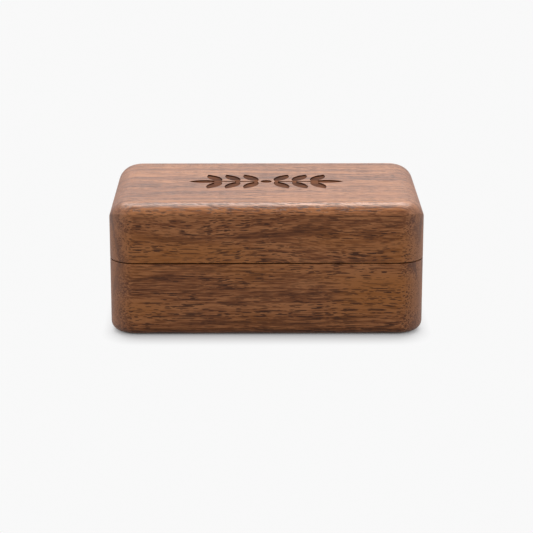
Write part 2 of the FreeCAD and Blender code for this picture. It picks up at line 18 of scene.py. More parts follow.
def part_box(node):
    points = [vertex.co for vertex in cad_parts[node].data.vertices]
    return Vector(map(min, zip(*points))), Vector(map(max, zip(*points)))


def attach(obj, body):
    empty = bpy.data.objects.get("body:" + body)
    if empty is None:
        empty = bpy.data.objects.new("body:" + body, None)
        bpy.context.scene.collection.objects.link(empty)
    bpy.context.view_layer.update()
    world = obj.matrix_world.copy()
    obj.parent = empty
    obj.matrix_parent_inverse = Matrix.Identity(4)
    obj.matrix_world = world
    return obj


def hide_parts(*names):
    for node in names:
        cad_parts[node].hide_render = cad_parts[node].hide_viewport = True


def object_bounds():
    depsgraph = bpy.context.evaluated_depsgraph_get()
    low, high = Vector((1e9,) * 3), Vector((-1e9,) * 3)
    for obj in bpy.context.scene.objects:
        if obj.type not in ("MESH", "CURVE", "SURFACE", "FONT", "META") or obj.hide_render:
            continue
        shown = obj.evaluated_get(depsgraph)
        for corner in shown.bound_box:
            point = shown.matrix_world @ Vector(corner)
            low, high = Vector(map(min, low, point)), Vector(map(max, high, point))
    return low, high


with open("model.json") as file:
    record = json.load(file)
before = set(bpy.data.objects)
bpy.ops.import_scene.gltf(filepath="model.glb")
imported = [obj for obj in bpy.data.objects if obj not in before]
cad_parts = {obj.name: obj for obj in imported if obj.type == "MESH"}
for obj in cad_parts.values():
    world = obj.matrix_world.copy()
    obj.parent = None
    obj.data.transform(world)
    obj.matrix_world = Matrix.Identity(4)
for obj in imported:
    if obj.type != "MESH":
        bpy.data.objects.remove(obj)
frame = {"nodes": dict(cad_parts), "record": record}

bl_info = {
    "name": "Walnut Cufflink Box",
    "version": (1, 0, 0),
    "blender": (4, 5, 0),
    "location": "3D View > Sidebar > Cufflink Box",
    "description": "Finishes, padded linings and stage for a walnut cufflink box",
    "category": "Object",
}

NODES = frame["nodes"]
CAD_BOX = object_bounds()
MM = 0.001
OPENINGS = {opening["name"]: opening["box_m"] for opening in frame["record"]["physics"]["openings"]}


def colour(name, description, default):
    """A colour that a user would change."""
    return FloatVectorProperty(
        name=name, description=description, subtype="COLOR", size=3, min=0, max=1, default=default)


def length(name, description, default):
    """A length in metres that a user would change."""
    return FloatProperty(
        name=name, description=description, unit="LENGTH", min=0, precision=5, default=default)


def angle(name, description, degrees):
    """An angle that a user would change."""
    return FloatProperty(
        name=name, description=description, subtype="ANGLE", default=math.radians(degrees))


def share(name, description, default):
    """A share from 0 to 1 that a user would change."""
    return FloatProperty(
        name=name, description=description, subtype="FACTOR", min=0, max=1, default=default)


def level(name, description, default):
    """A plain number from 0 up that a user would change."""
    return FloatProperty(name=name, description=description, min=0, default=default)


class WalnutSettings(PropertyGroup):
    """The walnut of the base and the lid."""
    dark: colour("Dark streaks", "The darkest of the figure, late in a ring", (0.064, 0.018, 0.005))
    brown: colour("Heartwood", "The usual brown of the figure", (0.164, 0.055, 0.019))
    pale: colour("Pale streaks", "The palest of the figure, early in a ring", (0.295, 0.118, 0.046))
    orange: colour("Warm heart", "The colour that the board's heart leans to", (0.245, 0.082, 0.012))
    pore: colour("Pores", "The dark inside of the open pores", (0.030, 0.008, 0.003))
    # Paler, greyer brown at the rounded end corners: partly end grain's own colour, partly a painted
    # sheen
    end: colour("End grain", "The greyer brown that end grain leans to", (0.160, 0.085, 0.062))
    burnt: colour("Burnt engraving", "Tint of the wood on the engraving's floor", (0.420, 0.340, 0.240))
    scorched: colour("Scorched edge", "Tint of the wood on the engraving's walls", (0.250, 0.150, 0.080))
    engraving: length("Engraving", "Depth of the engraving in the lid", 0.0003)
    ring_spacing: length("Ring spacing", "Distance from one growth ring to the next", 0.0026)
    ring_tilt: angle("Ring tilt", "Lean of the rings from upright", 14)
    heart: length("Heart", "How far from the board's middle its warm heart lies", 0.017)
    corner: length("Corner", "Rounding of the upright corners, where end grain starts", 0.006)
    roughness: share("Roughness", "Roughness of the oiled surface between the pores", 0.28)
    gloss: colour("Gloss", "Tint of the gloss seen straight on, white at a low angle", (0.54, 0.48, 0.44))
    relief: length("Grain relief", "Depth of the open pores", 0.000015)


class MetalSettings(PropertyGroup):
    """The hinges, screws, pins and magnets."""
    brass: colour("Hinge brass", "Satin brass of the hinge leaves", (0.640, 0.400, 0.140))
    screw: colour("Screw brass", "Polished brass of the screws", (0.700, 0.450, 0.170))
    steel: colour("Pin steel", "Drawn steel of the hinge pins", (0.400, 0.390, 0.380))
    nickel: colour("Magnet nickel", "Nickel plating of the magnets", (0.280, 0.273, 0.262))
    brushing: length("Brushing", "Distance between brush marks", 0.00008)


class LiningSettings(PropertyGroup):
    """The velvet linings and the cards behind them."""
    velvet: colour("Velvet", "The pile seen from above", (0.007, 0.007, 0.009))
    nap: colour("Brushed nap", "The pile where it lies the other way", (0.050, 0.050, 0.057))
    card: colour("Card", "The dark card behind the linings", (0.030, 0.029, 0.028))
    pile: length("Pile", "Distance between tufts of the pile", 0.00014)
    cushion_swell: length("Cushion swell", "How far the insert's padding swells from its block", 0.0008)
    pad_swell: length("Pad swell", "How far the lid pad's padding swells from its block", 0.0005)
    mesh: length("Mesh size", "Size of the mesh that swells", 0.0006)


class StageSettings(PropertyGroup):
    """The floor, the lamps and the camera."""
    floor: colour("Floor", "The pale floor as it shows", (0.480, 0.480, 0.490))
    bounce: colour("Floor bounce", "The floor as the box sees it", (0.220, 0.220, 0.220))
    backdrop: colour("Backdrop", "What shows behind the floor", (0.945, 0.945, 0.945))
    foot_inset: length("Foot inset", "From the sides of the box in to its flat underside", 0.0021)
    foot_corner: length("Foot corner", "Corner radius of the flat underside", 0.0039)
    shadow_ahead: length("Shadow ahead", "How far the shadow reaches before the flat underside", 0.0096)
    shadow_beside: length("Shadow beside", "How far the shadow reaches beside the flat underside", 0.0042)
    ambient: level("Ambient light", "Light from all round", 0.50)
    key: level("Key lamp", "Power of the soft lamp above and behind, in watts", 12.0)
    side: level("Side lamps", "Power of each soft lamp at the sides, in watts", 4.2)
    aim: FloatVectorProperty(
        name="Aim", description="Where the camera looks", subtype="XYZ", unit="LENGTH", size=3,
        default=(0.00007, 0.0, 0.00963))
    distance: length("Distance", "From the camera to its aim", 0.4592)
    azimuth: angle("Azimuth", "Turn of the camera about the box", -0.32)
    elevation: angle("Elevation", "Height of the camera above the horizon", 15.98)
    lens: FloatProperty(
        name="Lens", description="Focal length on a 36 mm sensor", unit="CAMERA", default=133.1)


# Helpers for node trees

def rgba(shade):
    """A colour with full alpha."""
    return (*shade, 1.0)


def add_node(tree, kind, inputs=None, **settings):
    """A node with its settings, whose inputs are plain values or other nodes' outputs."""
    node = tree.nodes.new(kind)
    for name, value in settings.items():
        setattr(node, name, value)
    for key, value in (inputs or {}).items():
        if isinstance(value, bpy.types.NodeSocket):
            tree.links.new(value, node.inputs[key])
        else:
            node.inputs[key].default_value = value
    return node


def calculate(tree, operation, *values):
    """The result of a sum, product or like operation on numbers."""
    return add_node(tree, "ShaderNodeMath", dict(enumerate(values)), operation=operation).outputs[0]


def combine(tree, operation, *vectors):
    """The result of a sum, product or like operation on vectors."""
    node = add_node(tree, "ShaderNodeVectorMath", dict(enumerate(vectors)), operation=operation)
    return node.outputs["Vector"]


def stretch(tree, place, scale, offset=(0, 0, 0)):
    """A place scaled along its axes, then moved."""
    inputs = {"Vector": place, "Scale": scale, "Location": offset}
    return add_node(tree, "ShaderNodeMapping", inputs).outputs[0]


def noise(tree, place, detail=2.0, rough=0.5):
    """Soft noise from about 0 to 1 with features one unit apart."""
    inputs = {"Vector": place, "Scale": 1.0, "Detail": detail, "Roughness": rough}
    return add_node(tree, "ShaderNodeTexNoise", inputs).outputs["Fac"]


def rescale(tree, value, low, high, to_low=0.0, to_high=1.0):
    """A value carried smoothly from one range to another."""
    inputs = {"Value": value, "From Min": low, "From Max": high, "To Min": to_low, "To Max": to_high}
    node = add_node(tree, "ShaderNodeMapRange", inputs, interpolation_type="SMOOTHSTEP")
    return node.outputs["Result"]


def mix_colours(tree, factor, first, second, blend="MIX"):
    """Two colours mixed by a factor."""
    inputs = {0: factor, 6: first, 7: second}
    return add_node(tree, "ShaderNodeMix", inputs, data_type="RGBA", blend_type=blend).outputs[2]


def new_group(name, inputs, outputs):
    """An empty node group, with the sockets of its two ends."""
    group = bpy.data.node_groups.new(name, "ShaderNodeTree")
    for label, kind in inputs:
        group.interface.new_socket(label, in_out="INPUT", socket_type=f"NodeSocket{kind}")
    for label, kind in outputs:
        group.interface.new_socket(label, in_out="OUTPUT", socket_type=f"NodeSocket{kind}")
    entry = group.nodes.new("NodeGroupInput")
    leave = group.nodes.new("NodeGroupOutput")
    return group, entry.outputs, leave.inputs


def place_group(tree, group, inputs):
    """A node group placed in a material with its own values."""
    return add_node(tree, "ShaderNodeGroup", inputs, node_tree=group).outputs


def new_material(name, constants):
    """A material with a Principled surface, whose plain values are set on its own sockets."""
    material = bpy.data.materials.new(name)
    material.use_nodes = True
    tree = material.node_tree
    tree.nodes.clear()
    surface = add_node(tree, "ShaderNodeBsdfPrincipled", constants)
    add_node(tree, "ShaderNodeOutputMaterial", {"Surface": surface.outputs["BSDF"]})
    place = add_node(tree, "ShaderNodeTexCoord").outputs["Object"]
    return material, tree, surface.inputs, place


def link(tree, output, socket):
    """Join an output to a socket."""
    tree.links.new(output, socket)


def roughen(tree, surface, height, distance):
    """Bump a surface by a height."""
    bump = add_node(tree, "ShaderNodeBump", {"Height": height, "Distance": distance, "Strength": 1.0})
    link(tree, bump.outputs["Normal"], surface["Normal"])


def paint(material, names):
    """Give CAD nodes a finish."""
    for name in names:
        NODES[name].material_slots[0].material = material


def nodes_with(word):
    """Names of the CAD nodes that hold a word."""
    return [name for name in NODES if word in name]


# Walnut

# How far a board's fibres wander, how cloudy and how streaky it is, and how pale
WAVY_FIGURE = {"Wander": 1.0, "Clouds": 1.0, "Streaks": 1.1, "Paleness": 0.66}
STRAIGHT_FIGURE = {"Wander": 0.4, "Clouds": 0.35, "Streaks": 1.5, "Paleness": 0.60}

# Where in the board each piece is cut, in millimetres
BASE_PLACE = (300, 23, 7)
LID_PLACE = (80, 6, 0)

# Length of the vessels and distance between them in millimetres, and the reach of a vessel in its cell
VESSELS = ((8.5, 0.46, 0.36), (4.0, 0.42, 0.42), (2.0, 0.34, 0.42))


def bend_fibres(group, place, wander):
    """A place bent with the wandering fibres, which every pattern follows."""
    sway = noise(group, stretch(group, place, (0.030, 0.05, 0.05)), 1.0)
    ripple = noise(group, stretch(group, place, (0.10, 0.22, 0.22), (31, 7, 3)), 1.0)
    sway_by = calculate(group, "MULTIPLY_ADD", sway, 3.6, -1.8)
    whole_bend = calculate(group, "MULTIPLY_ADD", ripple, 0.8, sway_by)
    bend = calculate(group, "MULTIPLY", whole_bend, wander)
    shift = add_node(group, "ShaderNodeCombineXYZ", {"Y": bend, "Z": bend}).outputs[0]
    return combine(group, "ADD", place, shift)


def make_rings(group, axes, settings):
    """Growth rings: 1 late in a dark year.

    They lie nearly along the front, lean back towards the foot, and differ from year to year.
    """
    across = calculate(group, "MULTIPLY", axes["Y"], math.cos(settings.ring_tilt))
    depth = calculate(group, "MULTIPLY_ADD", axes["Z"], math.sin(settings.ring_tilt), across)
    years = calculate(group, "DIVIDE", depth, settings.ring_spacing / MM)
    phase = calculate(group, "FRACT", years)
    rise = rescale(group, phase, 0.45, 0.92)
    fall = rescale(group, phase, 0.92, 1.0, 1.0, 0.0)
    count = calculate(group, "FLOOR", years)
    chance = add_node(group, "ShaderNodeTexWhiteNoise", {"W": count}, noise_dimensions="1D")
    darkness = chance.outputs["Value"]
    return calculate(group, "MULTIPLY", calculate(group, "MULTIPLY", rise, fall), darkness)


def make_warm_heart(group, bent, axes, settings):
    """1 in the warm patches at the board's heart."""
    patches = noise(group, stretch(group, bent, (0.030, 0.09, 0.09), (17, 4, 1)), 1.0)
    height = calculate(group, "ABSOLUTE", axes["Z"])
    off_heart = calculate(group, "SUBTRACT", height, settings.heart / MM)
    near_heart = rescale(group, calculate(group, "ABSOLUTE", off_heart), 2.0, 9.0, 1.0, 0.0)
    return calculate(group, "MULTIPLY", rescale(group, patches, 0.35, 0.60), near_heart)


def make_pores(group, bent, end_grain):
    """Open pores: short vessels along the fibres, in three sizes, fainter in end grain."""
    pores = 0.0
    for along, apart, radius in VESSELS:
        cells = stretch(group, bent, (1 / along, 1.5 / apart, 1 / apart), (along, apart, radius))
        vessel = add_node(group, "ShaderNodeTexVoronoi", {"Vector": cells, "Scale": 1.0}).outputs
        chance = add_node(group, "ShaderNodeSeparateColor", {0: vessel["Color"]}).outputs[0]
        reach = rescale(group, chance, 0.0, 1.0, 0.45 * radius, radius)
        inner = calculate(group, "MULTIPLY", reach, 0.74)
        mask = rescale(group, vessel["Distance"], inner, reach, 1.0, 0.0)
        pores = calculate(group, "MAXIMUM", pores, mask)
    crowding = noise(group, stretch(group, bent, (0.05, 0.30, 0.30), (3, 3, 6)), 1.0)
    strength = rescale(group, crowding, 0.33, 0.63, 0.45, 1.0)
    lengthwise = calculate(group, "MULTIPLY_ADD", end_grain, -0.6, 1.0)
    return calculate(group, "MULTIPLY", pores, calculate(group, "MULTIPLY", strength, lengthwise))


def make_grain_group(settings):
    """Walnut figure along the X axis: growth rings, pigment bands, fibre streaks and open pores.

    It reads a place in millimetres, and puts out a tone from 0, dark, to 1, pale, the warm heart, the
    pores and the height of the surface.
    """
    group, entry, leave = new_group(
        "walnut_grain",
        [("Place", "Vector"), ("End Grain", "Float"), ("Wander", "Float"), ("Clouds", "Float"),
         ("Streaks", "Float"), ("Paleness", "Float")],
        [("Tone", "Float"), ("Warm", "Float"), ("Pores", "Float"), ("Height", "Float")])
    bent = bend_fibres(group, entry["Place"], entry["Wander"])
    axes = add_node(group, "ShaderNodeSeparateXYZ", {0: bent}).outputs
    warm = make_warm_heart(group, bent, axes, settings)
    pores = make_pores(group, bent, entry["End Grain"])

    # Pigment bands, clouds, and streaks of two sizes, each about 0
    pigment = noise(group, stretch(group, bent, (0.014, 0.36, 0.26), (5, 2, 9)), 2.0)
    smudge = noise(group, stretch(group, bent, (0.13, 2.40, 0.85), (2, 28, 4)), 2.0)
    broad = noise(group, stretch(group, bent, (0.06, 3.0, 1.9)), 2.0, 0.6)
    fine = noise(group, stretch(group, bent, (0.20, 6.5, 4.0)), 2.0, 0.6)
    bands = calculate(group, "MULTIPLY_ADD", pigment, 1.50, -0.75)
    clouds = calculate(group, "MULTIPLY_ADD", smudge, 1.30, -0.65)
    broad_streaks = calculate(group, "MULTIPLY_ADD", broad, 1.10, -0.55)
    fine_streaks = calculate(group, "MULTIPLY_ADD", fine, 1.35, -0.675)
    streaks = calculate(group, "ADD", broad_streaks, fine_streaks)

    # The tone sums them, with rings that show most in end grain
    tone = calculate(group, "ADD", bands, entry["Paleness"])
    tone = calculate(group, "MULTIPLY_ADD", streaks, entry["Streaks"], tone)
    tone = calculate(group, "MULTIPLY_ADD", clouds, entry["Clouds"], tone)
    ring_share = calculate(group, "MULTIPLY_ADD", entry["End Grain"], -0.50, -0.22)
    tone = calculate(group, "MULTIPLY_ADD", make_rings(group, axes, settings), ring_share, tone)
    tone = calculate(group, "MULTIPLY_ADD", warm, 0.18, tone)
    link(group, tone, leave["Tone"])
    link(group, warm, leave["Warm"])
    link(group, pores, leave["Pores"])
    link(group, calculate(group, "MULTIPLY_ADD", pores, -1.0, fine), leave["Height"])
    return group


def make_burn_masks(tree, axes, settings):
    """1 on the engraving's floor, and 1 on its walls.

    Nothing else of the lid lies just below the flat of its top.
    """
    floor_height = CAD_BOX[1].z - settings.engraving
    half_wall = settings.engraving / 2
    skin = 0.03 * MM
    flat = CAD_BOX[1] - Vector((1, 1, 0)) * settings.corner
    within_x = calculate(tree, "LESS_THAN", calculate(tree, "ABSOLUTE", axes["X"]), flat.x)
    within_y = calculate(tree, "LESS_THAN", calculate(tree, "ABSOLUTE", axes["Y"]), flat.y)
    on_flat = calculate(tree, "MULTIPLY", within_x, within_y)
    at_floor = calculate(tree, "COMPARE", axes["Z"], floor_height, skin)
    at_wall = calculate(tree, "COMPARE", axes["Z"], floor_height + half_wall, half_wall - skin)
    return calculate(tree, "MULTIPLY", at_floor, on_flat), calculate(tree, "MULTIPLY", at_wall, on_flat)


def colour_tone(tree, tone, settings):
    """The wood's colour at a tone from 0, dark, to 1, pale."""
    ramp = add_node(tree, "ShaderNodeValToRGB", {"Fac": tone})
    stops = ramp.color_ramp.elements
    stops[0].position = 0.10
    stops[0].color = rgba(settings.dark)
    stops[1].position = 0.90
    stops[1].color = rgba(settings.pale)
    middle = stops.new(0.50)
    middle.color = rgba(settings.brown)
    return ramp.outputs["Color"]


def make_walnut(name, settings, grain, figure, offset, upside_down=False, engraved=False):
    """Oiled walnut with its own figure, cut from its own place in the board.

    An engraved piece has a burnt pattern in its top.
    """
    material, tree, surface, place = new_material(
        name, {"Specular Tint": rgba(settings.gloss), "Specular IOR Level": 0.42})
    upright = -1 / MM if upside_down else 1 / MM
    in_millimetres = stretch(tree, place, (1 / MM, 1 / MM, upright), offset)
    axes = add_node(tree, "ShaderNodeSeparateXYZ", {0: place}).outputs
    end_face = CAD_BOX[1].x
    aside = calculate(tree, "ABSOLUTE", axes["X"])
    end_grain = rescale(tree, aside, end_face - settings.corner, end_face)
    wood = place_group(tree, grain, {"Place": in_millimetres, "End Grain": end_grain, **figure})

    # The heart is warmer, end grain greyer, paler with a painted sheen and duller, and pores darker and
    # duller
    warmth = calculate(tree, "MULTIPLY", wood["Warm"], 0.60)
    greying_and_sheen = calculate(tree, "MULTIPLY", end_grain, 0.55)
    filling = calculate(tree, "MULTIPLY", wood["Pores"], 0.94)
    shade = colour_tone(tree, wood["Tone"], settings)
    shade = mix_colours(tree, warmth, shade, rgba(settings.orange))
    # Painted sheen: the rounded end corners are paled and greyed, on top of end grain's own colour
    shade = mix_colours(tree, greying_and_sheen, shade, rgba(settings.end))
    shade = mix_colours(tree, filling, shade, rgba(settings.pore))
    dullness = calculate(tree, "MULTIPLY_ADD", end_grain, 0.25, settings.roughness)
    dullness = calculate(tree, "MULTIPLY_ADD", wood["Pores"], 0.18, dullness)

    if engraved:
        floor, wall = make_burn_masks(tree, axes, settings)
        shade = mix_colours(tree, floor, shade, rgba(settings.burnt), "MULTIPLY")
        shade = mix_colours(tree, wall, shade, rgba(settings.scorched), "MULTIPLY")
        dullness = calculate(tree, "MAXIMUM", dullness, calculate(tree, "MAXIMUM", floor, wall))
    link(tree, shade, surface["Base Color"])
    link(tree, dullness, surface["Roughness"])
    roughen(tree, surface, wood["Height"], settings.relief)
    return material


# Metal and card

def make_brushing_group():
    """Fine brush marks along X, with soft smudges, from a place in metres."""
    group, entry, leave = new_group(
        "brushed_metal", [("Place", "Vector"), ("Spacing", "Float")],
        [("Marks", "Float"), ("Smudge", "Float")])
    fineness = calculate(group, "DIVIDE", 1.0, entry["Spacing"])
    along = calculate(group, "MULTIPLY", fineness, 0.03)
    scales = {"X": along, "Y": fineness, "Z": fineness}
    scale = add_node(group, "ShaderNodeCombineXYZ", scales).outputs[0]
    marks = noise(group, stretch(group, entry["Place"], scale), 2.0)
    smudge = noise(group, stretch(group, entry["Place"], (700, 700, 700)), 2.0)
    link(group, marks, leave["Marks"])
    link(group, smudge, leave["Smudge"])
    return group


def make_metal(name, shade, brushing, spacing, roughness):
    """A metal with brush marks in its gloss and smudges in its colour."""
    material, tree, surface, place = new_material(name, {"Metallic": 1.0})
    brushed = place_group(tree, brushing, {"Place": place, "Spacing": spacing})
    dull = tuple(0.55 * part for part in shade)
    tarnish = rescale(tree, brushed["Smudge"], 0.35, 0.75, 0.0, 0.45)
    link(tree, mix_colours(tree, tarnish, rgba(shade), rgba(dull)), surface["Base Color"])
    worn = calculate(tree, "MULTIPLY_ADD", brushed["Smudge"], 0.15, roughness)
    gloss = calculate(tree, "MULTIPLY_ADD", brushed["Marks"], 0.12, worn)
    link(tree, gloss, surface["Roughness"])
    roughen(tree, surface, brushed["Marks"], 0.004 * MM)
    return material


def make_card(settings):
    """Dark card with fibres in it."""
    material, tree, surface, place = new_material("dark_card", {})
    fibres = noise(tree, stretch(tree, place, (900, 2600, 2600)), 3.0, 0.7)
    pale = tuple(1.5 * part for part in settings.card)
    link(tree, mix_colours(tree, fibres, rgba(settings.card), rgba(pale)), surface["Base Color"])
    link(tree, rescale(tree, fibres, 0.3, 0.7, 0.85, 0.95), surface["Roughness"])
    roughen(tree, surface, fibres, 0.03 * MM)
    return material


# Padded velvet

# Roundings of the padded blocks, and the depth below which a slot's walls are held
LINING_CORNER = 2.5 * MM
CUSHION_EDGE = 1.2 * MM
PAD_EDGE = 0.6 * MM
SLOT_LIP = 2.5 * MM


def make_velvet(settings):
    """Short-pile velvet: tufts in its relief, and patches where the nap is brushed the other way."""
    constants = {"Sheen Weight": 0.10, "Sheen Roughness": 0.30, "Sheen Tint": rgba((0.70, 0.72, 0.78)),
                 "Specular IOR Level": 0.1}
    material, tree, surface, place = new_material("pile_velvet", constants)
    clump_scale = 0.25 / settings.pile
    tufts = noise(tree, stretch(tree, place, (clump_scale, clump_scale, clump_scale)), 4.0, 0.75)
    patches = noise(tree, stretch(tree, place, (90, 170, 170)), 3.0, 0.6)
    lie = rescale(tree, patches, 0.38, 0.62)
    brushed = calculate(tree, "MULTIPLY_ADD", lie, 0.3, -0.55)
    pile = calculate(tree, "MULTIPLY_ADD", tufts, 1.4, brushed)
    shade = mix_colours(tree, pile, rgba(settings.velvet), rgba(settings.nap))
    link(tree, shade, surface["Base Color"])
    link(tree, rescale(tree, tufts, 0.3, 0.7, 0.8, 1.0), surface["Roughness"])
    roughen(tree, surface, tufts, 0.20 * MM)
    return material


def round_over(block, edges, radius, segments):
    """Round edges over."""
    bmesh.ops.bevel(block, geom=edges, offset=radius, offset_type="OFFSET", affect="EDGES",
                    segments=segments, profile=0.5, material=-1)


def new_block(low, high, corner):
    """A block between two corners, with round upright edges."""
    block = bmesh.new()
    bmesh.ops.create_cube(block, size=1)
    bmesh.ops.scale(block, vec=high - low, verts=block.verts)
    bmesh.ops.translate(block, vec=(low + high) / 2, verts=block.verts)
    upright = [edge for edge in block.edges if abs(edge.verts[0].co.z - edge.verts[1].co.z) > 0]
    round_over(block, upright, corner, 6)
    return block


def edges_at(block, height):
    """The block's edges at a height, between a level face and an upright one."""
    near = 0.01 * MM
    found = []
    for edge in block.edges:
        at_height = all(abs(vert.co.z - height) < near for vert in edge.verts)
        sides = [abs(face.normal.z) for face in edge.link_faces]
        if at_height and max(sides) - min(sides) > 0.5:
            found.append(edge)
    return found


def within(at, low, high, margin=0.0):
    """Whether a place, seen from above, lies in a rectangle with a margin round it."""
    along = low.x - margin < at.x < high.x + margin
    across = low.y - margin < at.y < high.y + margin
    return along and across


def sink_slot(block, low, high):
    """Push a rectangle of the block's top down to a slot's floor."""
    for axis in (0, 1):
        normal = Vector((axis == 0, axis == 1, 0))
        for side in (low, high):
            everything = [*block.verts, *block.edges, *block.faces]
            bmesh.ops.bisect_plane(block, geom=everything, plane_co=side, plane_no=normal)
    top = max(vert.co.z for vert in block.verts)
    mouth = []
    for face in block.faces:
        middle = face.calc_center_median()
        if within(middle, low, high) and middle.z > top - 0.01 * MM:
            mouth.append(face)
    pushed = bmesh.ops.extrude_face_region(block, geom=mouth)["geom"]
    floor = [item for item in pushed if isinstance(item, bmesh.types.BMVert)]
    bmesh.ops.translate(block, vec=(0, 0, low.z - top), verts=floor)
    left = [face for face in mouth if face.is_valid]
    bmesh.ops.delete(block, geom=left, context="FACES")


def new_piece(name, block):
    """An object that holds a block's mesh."""
    mesh = bpy.data.meshes.new(name)
    bmesh.ops.recalc_face_normals(block, faces=block.faces)
    block.to_mesh(mesh)
    block.free()
    piece = bpy.data.objects.new(name, mesh)
    bpy.context.scene.collection.objects.link(piece)
    return piece


def settle(piece):
    """Make what a piece's modifiers give its own mesh, and take the modifiers away."""
    graph = bpy.context.evaluated_depsgraph_get()
    finished = bpy.data.meshes.new_from_object(piece.evaluated_get(graph))
    piece.modifiers.clear()
    piece.data = finished


def swell(piece, mesh_size, most, is_held):
    """Let air pressure swell a padded piece by a distance at most, and hold it where is_held says.

    Cloth suits large pieces, so this one is enlarged meanwhile.
    """
    enlarge = 10
    frames = 20
    remesh = piece.modifiers.new("even_mesh", "REMESH")
    remesh.mode = "VOXEL"
    remesh.voxel_size = mesh_size
    settle(piece)
    start = [vert.co.copy() for vert in piece.data.vertices]
    held = piece.vertex_groups.new(name="held")
    held.add([index for index, at in enumerate(start) if is_held(at)], 1.0, "REPLACE")
    piece.data.transform(Matrix.Scale(enlarge, 4))

    cloth = piece.modifiers.new("padding", "CLOTH")
    cloth.settings.vertex_group_mass = held.name
    cloth.settings.use_pressure = True
    cloth.settings.uniform_pressure_force = 4
    cloth.settings.effector_weights.gravity = 0
    cloth.point_cache.frame_end = frames
    for step in range(1, frames + 1):
        bpy.context.scene.frame_set(step)
    settle(piece)
    bpy.context.scene.frame_set(1)

    piece.data.transform(Matrix.Scale(1 / enlarge, 4))
    for vert, at in zip(piece.data.vertices, start):
        move = vert.co - at
        if move.length > most:
            vert.co = at + move.normalized() * most
    piece.vertex_groups.clear()


def finish_padding(piece, settings, body, *stands_for):
    """Smooth a padded piece, cover it with velvet, fix it to its body, and hide the parts it stands for.
    """
    velvet = bpy.data.materials.get("pile_velvet") or make_velvet(settings)
    piece.data.polygons.foreach_set("use_smooth", [True] * len(piece.data.polygons))
    smooth = piece.modifiers.new("smooth", "SUBSURF")
    smooth.levels = 1
    smooth.render_levels = 1
    piece.data.materials.clear()
    piece.data.materials.append(velvet)
    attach(piece, body)
    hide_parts(*stands_for)


# Operators

class CUFFLINKBOX_OT_dress_walnut(Operator):
    """Give the base and the lid their walnut, each from its own place in the board"""
    bl_idname = "cufflink_box.dress_walnut"
    bl_label = "Dress Walnut"

    def execute(self, context):
        settings = context.scene.walnut
        grain = make_grain_group(settings)
        base_walnut = make_walnut("walnut_base", settings, grain, STRAIGHT_FIGURE, BASE_PLACE)
        lid_walnut = make_walnut(
            "walnut_lid", settings, grain, WAVY_FIGURE, LID_PLACE, upside_down=True, engraved=True)
        paint(base_walnut, ["base_shell"])
        paint(lid_walnut, ["lid_shell"])
        return {"FINISHED"}


class CUFFLINKBOX_OT_dress_metal(Operator):
    """Give the hinges, screws, pins and magnets their metals"""
    bl_idname = "cufflink_box.dress_metal"
    bl_label = "Dress Metal"

    def execute(self, context):
        settings = context.scene.metal
        brushing = make_brushing_group()
        for name, shade, roughness, word in (
                ("hinge_brass", settings.brass, 0.30, "leaf"),
                ("screw_brass", settings.screw, 0.18, "screw"),
                ("pin_steel", settings.steel, 0.25, "pin"),
                ("magnet_nickel", settings.nickel, 0.14, "magnet")):
            metal = make_metal(name, shade, brushing, settings.brushing, roughness)
            paint(metal, nodes_with(word))
        return {"FINISHED"}


class CUFFLINKBOX_OT_dress_card(Operator):
    """Give the cards behind the linings their finish"""
    bl_idname = "cufflink_box.dress_card"
    bl_label = "Dress Card"

    def execute(self, context):
        paint(make_card(context.scene.lining), nodes_with("board"))
        return {"FINISHED"}


class CUFFLINKBOX_OT_make_insert_cushion(Operator):
    """Make the padded velvet insert with its two cufflink slots"""
    bl_idname = "cufflink_box.make_insert_cushion"
    bl_label = "Make Insert Cushion"

    def execute(self, context):
        settings = context.scene.lining
        swelling = settings.cushion_swell
        low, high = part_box("insert_cover")
        inset = Vector((swelling, swelling, 0))
        block = new_block(low + inset, high - inset - Vector((0, 0, swelling)), LINING_CORNER)
        slots = [[Vector(corner) for corner in OPENINGS[name]] for name in ("left_slot", "right_slot")]
        for slot in slots:
            sink_slot(block, *slot)
        round_over(block, edges_at(block, high.z - swelling), CUSHION_EDGE, 4)
        piece = new_piece("insert_cushion", block)

        def is_held(at):
            in_slot = any(within(at, *slot, settings.mesh) for slot in slots)
            return at.z < low.z + settings.mesh or (in_slot and at.z < high.z - SLOT_LIP)

        swell(piece, settings.mesh, swelling, is_held)
        finish_padding(piece, settings, "base", "insert_cover", "insert_foam")
        return {"FINISHED"}


class CUFFLINKBOX_OT_make_lid_pad(Operator):
    """Make the padded velvet pad under the lid"""
    bl_idname = "cufflink_box.make_lid_pad"
    bl_label = "Make Lid Pad"

    def execute(self, context):
        settings = context.scene.lining
        swelling = settings.pad_swell
        low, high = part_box("lid_pad_cover")
        inset = Vector((swelling, swelling, 0))
        block = new_block(low + inset + Vector((0, 0, swelling)), high - inset, LINING_CORNER)
        round_over(block, edges_at(block, low.z + swelling), PAD_EDGE, 4)
        piece = new_piece("lid_cushion", block)
        swell(piece, settings.mesh, swelling, lambda at: at.z > high.z - settings.mesh / 2)
        finish_padding(piece, settings, "lid", "lid_pad_cover", "lid_pad_foam")
        return {"FINISHED"}


# Places and sizes of the lamps, in metres; the left lamp mirrors the right one
KEY_LAMP_PLACE = (0.0, 0.38, 0.67)
KEY_LAMP_SIZE = (0.90, 0.44)
SIDE_LAMP_PLACE = (0.80, -0.32, 0.30)
SIDE_LAMP_SIZE = (0.60, 0.60)


